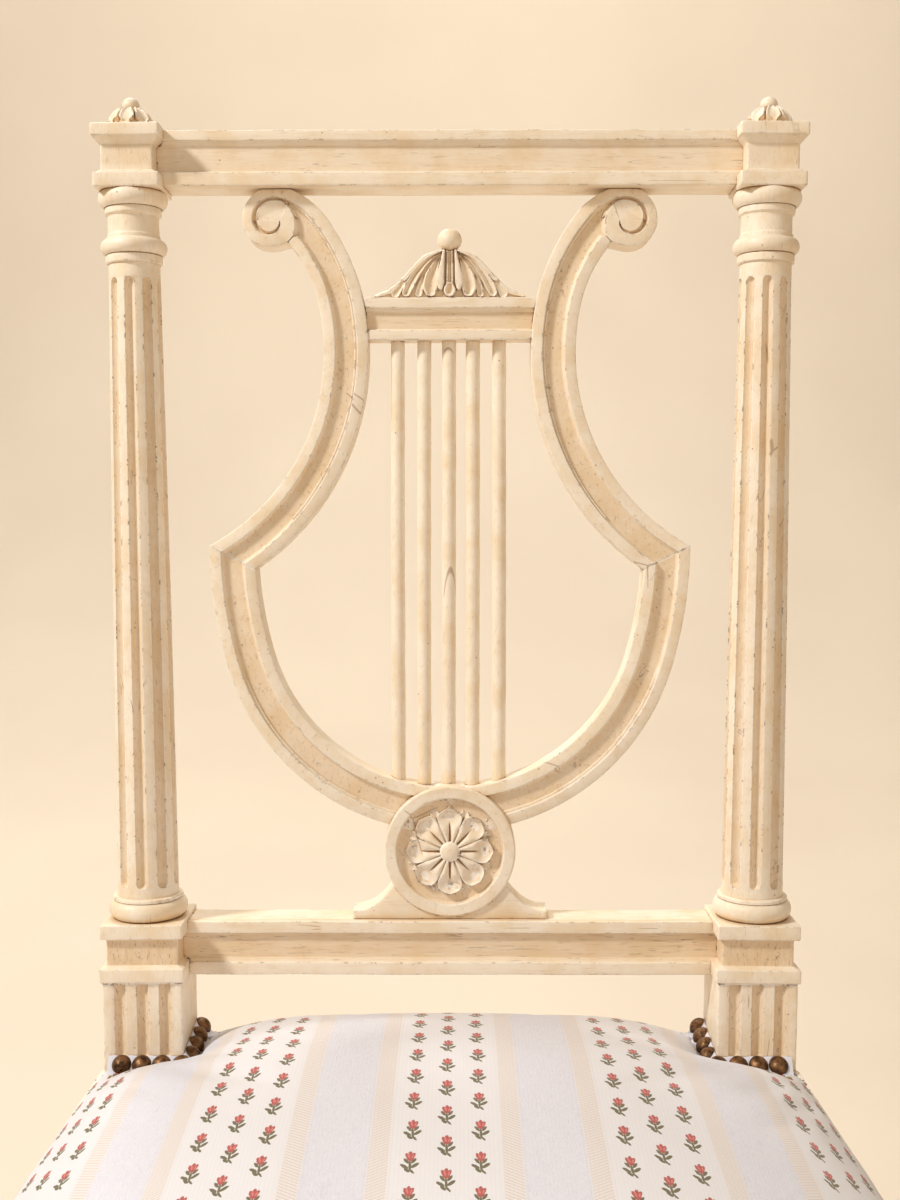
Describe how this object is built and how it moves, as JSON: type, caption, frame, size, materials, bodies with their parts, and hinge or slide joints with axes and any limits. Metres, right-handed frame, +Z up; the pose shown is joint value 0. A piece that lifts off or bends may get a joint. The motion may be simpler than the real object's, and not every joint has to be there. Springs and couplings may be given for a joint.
{
  "type": "lyre back chair",
  "caption": "Painted side chair in a neoclassical style, with a carved lyre between fluted columns as its back and a stuffed seat trimmed with nails.",
  "frame": {"origin": "centre of the bounding box at the floor, under the seat", "axes": "+Z up, +X to the right seen from the front, +Y from the front legs to the back, so the sitter faces -Y"},
  "size_m": [0.4868, 0.5042, 0.9708],
  "materials": {
    "painted_wood": "cream paint, worn and glazed",
    "bare_wood": "bare beech",
    "steel": "dull, blued",
    "nail_brass": "dark bronze, satin",
    "jute": "plain weave",
    "hair_pad": "calico over hair",
    "seat_fabric": "woven stripe with small rosebuds"
  },
  "bodies": {
    "root": {"rear_post_left": "painted_wood", "rear_post_right": "painted_wood", "finial_left": "painted_wood", "finial_right": "painted_wood", "crest_rail": "painted_wood", "lower_back_rail": "painted_wood", "lyre_arm_left": "painted_wood", "lyre_arm_right": "painted_wood", "lyre_bowl_left": "painted_wood", "lyre_bowl_right": "painted_wood", "lyre_yoke": "painted_wood", "lyre_string_1": "painted_wood", "lyre_string_2": "painted_wood", "lyre_string_3": "painted_wood", "lyre_string_4": "painted_wood", "lyre_string_5": "painted_wood", "yoke_crest": "painted_wood", "yoke_ball": "painted_wood", "medallion": "painted_wood", "rosette": "painted_wood", "rosette_button": "painted_wood", "lyre_foot": "painted_wood", "front_leg_left": "painted_wood", "front_leg_right": "painted_wood", "leg_rosettes": "painted_wood", "seat_rail_front": "painted_wood", "seat_rail_back": "painted_wood", "seat_rail_left": "painted_wood", "seat_rail_right": "painted_wood", "lyre_dowels": "bare_wood", "joint_pegs": "bare_wood", "corner_brace_front_left": "bare_wood", "corner_brace_front_right": "bare_wood", "corner_brace_rear_left": "bare_wood", "corner_brace_rear_right": "bare_wood", "brace_screws": "steel", "webbing_tacks": "steel", "trim_nails": "nail_brass", "webbing_lengthwise": "jute", "webbing_crosswise": "jute", "hessian": "jute", "seat_stuffing": "hair_pad", "seat_cover": "seat_fabric"}
  },
  "joints": []
}
